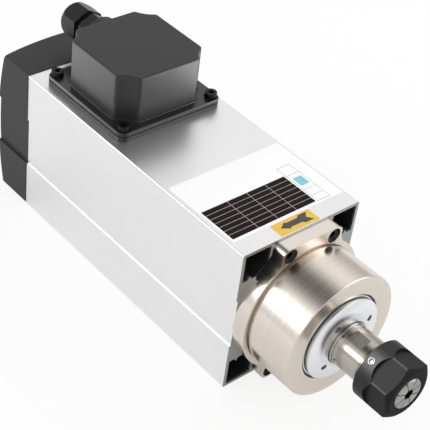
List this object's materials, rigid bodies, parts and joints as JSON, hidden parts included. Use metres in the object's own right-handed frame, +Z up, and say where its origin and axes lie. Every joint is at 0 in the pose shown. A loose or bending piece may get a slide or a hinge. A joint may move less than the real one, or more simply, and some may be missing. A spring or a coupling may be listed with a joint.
{
  "type": "air-cooled motor spindle",
  "caption": "Square-bodied fan-cooled electric motor spindle with a round nose, collet nut, junction box and cable gland.",
  "frame": {"origin": "centre of the collet's front face, at the mouth of its bore", "axes": "+X along the spindle axis out to the tool, +Z up through the junction box, +Y to the left seen from behind"},
  "size_m": [0.3112, 0.0826, 0.1267],
  "materials": {
    "anodised_aluminium": "natural satin anodised extrusion",
    "turned_aluminium": "bright, fine turned",
    "nickel_plated_steel": "turned steel under satin nickel plate",
    "ground_steel": "ground and polished steel",
    "bearing_steel": "ground hardened steel",
    "spring_steel": "ground spring steel",
    "black_oxide_steel": "satin black oxide",
    "electrical_steel": "stacked laminations",
    "cast_aluminium": "die cast, partly machined",
    "copper_windings": "enamelled copper, varnished",
    "black_cover_plastic": "moulded, fine matt grain",
    "black_box_plastic": "moulded, satin",
    "black_gland_nylon": "moulded nylon, satin",
    "fan_plastic": "glass-filled nylon",
    "terminal_plastic": "cream moulded",
    "lead_insulation": "silicone sleeve",
    "black_rubber": "soft matt",
    "zinc_steel": "zinc plated"
  },
  "bodies": {
    "motor_body": {"housing": "anodised_aluminium", "front_end_shield": "nickel_plated_steel", "shield_screws": "black_oxide_steel", "bearing_cap": "turned_aluminium", "stator_core": "electrical_steel", "stator_windings": "copper_windings", "motor_leads": "lead_insulation", "front_bearing_outer_rings": "bearing_steel", "rear_bearing_outer_ring": "bearing_steel", "preload_spring": "spring_steel", "rear_end_shield": "cast_aluminium", "rear_shield_screws": "black_oxide_steel", "rear_cover": "black_cover_plastic", "rear_cover_screws": "black_oxide_steel", "junction_box_base": "black_box_plastic", "base_screws": "zinc_steel", "earth_screw": "zinc_steel", "lid_gasket": "black_rubber", "junction_box_lid": "black_box_plastic", "lid_screws": "black_oxide_steel", "terminal_block": "terminal_plastic", "terminal_screws": "zinc_steel", "gland_body": "black_gland_nylon", "gland_locknut": "black_gland_nylon"},
    "rotor": {"shaft": "ground_steel", "shaft_collar": "ground_steel", "rotor_core": "electrical_steel", "rotor_end_rings": "cast_aluminium", "front_bearing_inner_rings": "bearing_steel", "rear_bearing_inner_ring": "bearing_steel", "cooling_fan": "fan_plastic", "fan_screw": "zinc_steel"},
    "front_balls": {"front_bearing_balls": "bearing_steel"},
    "rear_balls": {"rear_bearing_balls": "bearing_steel"},
    "collet_body": {"collet": "ground_steel"},
    "nut_body": {"collet_nut": "black_oxide_steel"},
    "seal_body": {"gland_seal": "black_rubber"},
    "gland_cap": {"gland_nut": "black_gland_nylon"}
  },
  "joints": [
    {"name": "spindle_spin", "type": "hinge", "parent": "motor_body", "child": "rotor", "pos_m": [0, 0, 0], "axis": [1, 0, 0], "continuous": true},
    {"name": "front_balls_spin", "type": "hinge", "parent": "motor_body", "child": "front_balls", "pos_m": [0, 0, 0], "axis": [1, 0, 0], "continuous": true},
    {"name": "rear_balls_spin", "type": "hinge", "parent": "motor_body", "child": "rear_balls", "pos_m": [0, 0, 0], "axis": [1, 0, 0], "continuous": true},
    {"name": "collet_draw", "type": "slide", "parent": "rotor", "child": "collet_body", "axis": [1, 0, 0], "range_m": [0, 0.003]},
    {"name": "nut_turn", "type": "hinge", "parent": "collet_body", "child": "nut_body", "pos_m": [0, 0, 0], "axis": [1, 0, 0], "range_deg": [0, 720]},
    {"name": "gland_draw", "type": "slide", "parent": "motor_body", "child": "seal_body", "axis": [-1, 0, 0], "range_m": [0, 0.00225]},
    {"name": "gland_turn", "type": "hinge", "parent": "seal_body", "child": "gland_cap", "pos_m": [-0.277, 0, 0.0666], "axis": [-1, 0, 0], "range_deg": [0, 540]}
  ],
  "couplings": [
    {"joint": "front_balls_spin", "follows": "spindle_spin", "ratio": 0.4118},
    {"joint": "rear_balls_spin", "follows": "spindle_spin", "ratio": 0.3979},
    {"joint": "collet_draw", "follows": "nut_turn", "m_per_rad": 0.00023873},
    {"joint": "gland_draw", "follows": "gland_turn", "m_per_rad": 0.00023873}
  ]
}
